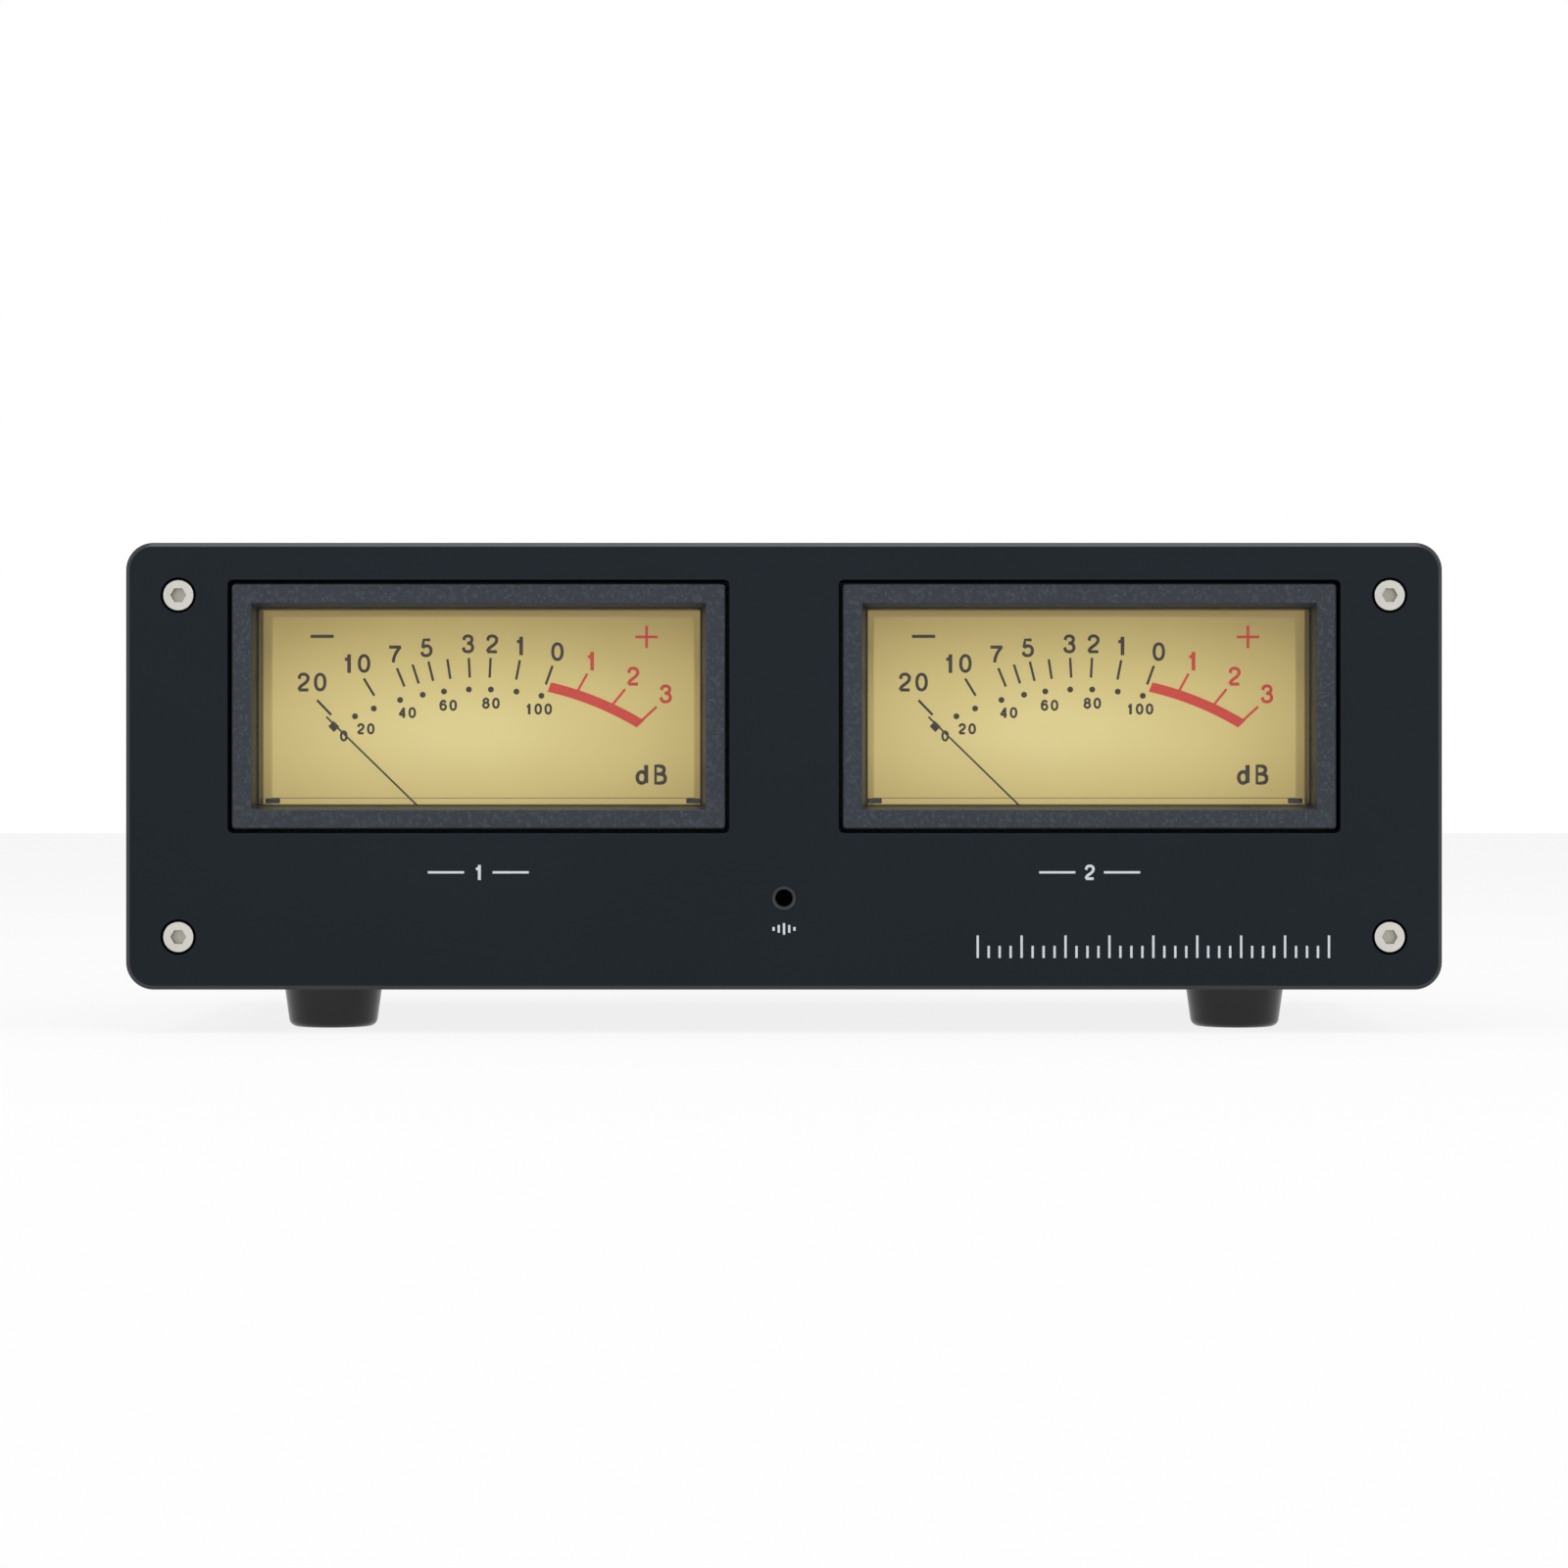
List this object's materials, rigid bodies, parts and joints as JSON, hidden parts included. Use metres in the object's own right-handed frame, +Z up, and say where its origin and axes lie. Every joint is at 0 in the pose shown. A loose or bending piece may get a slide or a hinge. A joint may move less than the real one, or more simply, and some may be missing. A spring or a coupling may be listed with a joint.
{
  "type": "stereo analog level meter",
  "caption": "Desktop stereo level meter: thick front panel, back-lit needle dials in bezels, side rails, tapered feet, microphone hole and rear connectors.",
  "frame": {"origin": "on the ground under the middle of the whole object", "axes": "+X to the right seen from the front, +Y to the back, +Z up; the front panel faces -Y"},
  "size_m": [0.24, 0.129, 0.0895],
  "materials": {
    "panel_black": "black anodised, fine matte",
    "chassis_black": "black anodised",
    "stainless_steel": "turned stainless steel",
    "foot_plastic": "moulded, slightly glossy",
    "bezel_plastic": "fine moulded texture",
    "clear_plastic": "clear polished",
    "case_plastic": "moulded",
    "dial_print": "translucent amber",
    "board_green": "solder resist",
    "soft_iron": "plated",
    "magnet": "bare",
    "brass": "turned",
    "copper_wire": "enamelled winding",
    "needle_brown": "painted",
    "spring_bronze": "rolled strip",
    "zinc_cast": "cast",
    "component_black": "moulded and sleeved",
    "nickel": "nickel plated",
    "knob_black": "moulded, fluted",
    "lead_sleeve": "soft sleeve",
    "mic_metal": "drawn can"
  },
  "bodies": {
    "root": {"front_panel": "panel_black", "rear_panel": "chassis_black", "left_side_rail": "chassis_black", "right_side_rail": "chassis_black", "top_plate": "chassis_black", "bottom_plate": "chassis_black", "front_panel_screws": "stainless_steel", "rear_panel_screws": "stainless_steel", "front_left_foot": "foot_plastic", "front_right_foot": "foot_plastic", "rear_left_foot": "foot_plastic", "rear_right_foot": "foot_plastic", "foot_screws": "stainless_steel", "left_bezel": "bezel_plastic", "left_window": "clear_plastic", "left_case": "case_plastic", "left_dial": "dial_print", "left_backlight_board": "board_green", "left_meter_screws": "stainless_steel", "left_yoke_ring": "soft_iron", "left_core_magnet": "magnet", "left_front_bridge": "brass", "left_rear_bridge": "zinc_cast", "left_jewel_screws": "brass", "left_hairsprings": "spring_bronze", "right_bezel": "bezel_plastic", "right_window": "clear_plastic", "right_case": "case_plastic", "right_dial": "dial_print", "right_backlight_board": "board_green", "right_meter_screws": "stainless_steel", "right_yoke_ring": "soft_iron", "right_core_magnet": "magnet", "right_front_bridge": "brass", "right_rear_bridge": "zinc_cast", "right_jewel_screws": "brass", "right_hairsprings": "spring_bronze", "driver_board": "board_green", "board_standoffs": "brass", "board_screws": "stainless_steel", "board_components": "component_black", "mic_capsule": "mic_metal", "left_input_jack": "nickel", "right_input_jack": "nickel", "power_inlet": "component_black", "power_switch": "nickel", "gain_pot": "nickel", "wiring_harness": "lead_sleeve"},
    "left_movement": {"left_coil": "copper_wire", "left_staff": "stainless_steel", "left_needle": "needle_brown"},
    "left_zero": {"left_zero_lever": "brass"},
    "right_movement": {"right_coil": "copper_wire", "right_staff": "stainless_steel", "right_needle": "needle_brown"},
    "right_zero": {"right_zero_lever": "brass"},
    "power_lever": {"power_lever": "nickel"},
    "gain_knob": {"gain_shaft": "nickel", "gain_knob": "knob_black"}
  },
  "joints": [
    {"name": "left_needle_swing", "type": "hinge", "parent": "root", "child": "left_movement", "pos_m": [-0.0557, -0.0425, 0.02965], "axis": [0, 1, 0], "range_deg": [-2, 96], "stiffness_Nm_per_rad": 0.00002},
    {"name": "left_zero_set", "type": "hinge", "parent": "root", "child": "left_zero", "pos_m": [-0.0557, -0.0536, 0.02965], "axis": [0, 1, 0], "range_deg": [-8, 8]},
    {"name": "right_needle_swing", "type": "hinge", "parent": "root", "child": "right_movement", "pos_m": [0.0557, -0.0425, 0.02965], "axis": [0, 1, 0], "range_deg": [-2, 96], "stiffness_Nm_per_rad": 0.00002},
    {"name": "right_zero_set", "type": "hinge", "parent": "root", "child": "right_zero", "pos_m": [0.0557, -0.0536, 0.02965], "axis": [0, 1, 0], "range_deg": [-8, 8]},
    {"name": "power_toggle", "type": "hinge", "parent": "root", "child": "power_lever", "pos_m": [0.052, 0.0445, 0.05075], "axis": [1, 0, 0], "range_deg": [0, 26]},
    {"name": "gain_turn", "type": "hinge", "parent": "root", "child": "gain_knob", "pos_m": [-0.008, 0.0555, 0.05075], "axis": [0, 1, 0], "range_deg": [-150, 150]}
  ]
}
